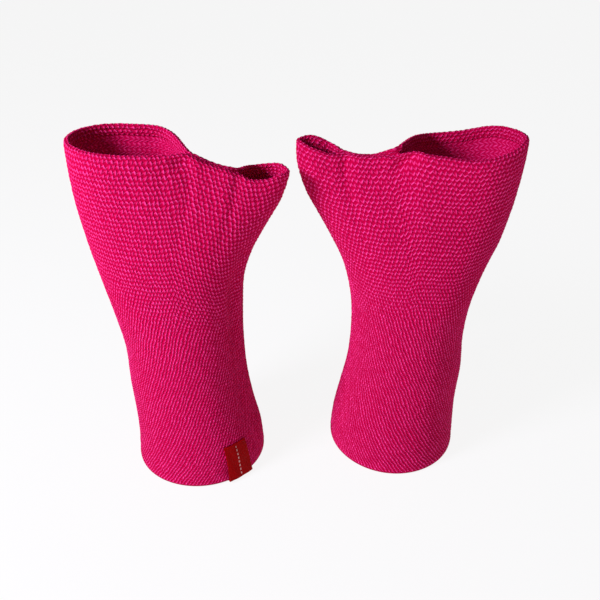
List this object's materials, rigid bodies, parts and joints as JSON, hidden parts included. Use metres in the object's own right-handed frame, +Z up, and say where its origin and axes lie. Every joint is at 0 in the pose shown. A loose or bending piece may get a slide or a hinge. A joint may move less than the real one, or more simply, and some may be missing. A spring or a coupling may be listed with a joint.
{
  "type": "pair of knitted arm warmers",
  "caption": "Fingerless knitted arm warmers, a mirrored pair standing filled out on their wrist hems, each with a wide finger opening and a small thumb opening.",
  "frame": {"origin": "on the ground, at the middle of the pair's footprint box", "axes": "+Z up, +X across the pair from the left warmer to the right one, -Y towards the fronts of the warmers"},
  "size_m": [0.2196, 0.0866, 0.181],
  "materials": {
    "knit": "magenta close-knit yarn, matt with a soft sheen",
    "label_ribbon": "dark red woven ribbon, slight satin sheen"
  },
  "bodies": {
    "root": {"left_body": "knit", "left_finger_hem": "knit", "left_label": "label_ribbon", "right_body": "knit", "right_finger_hem": "knit"}
  },
  "joints": []
}
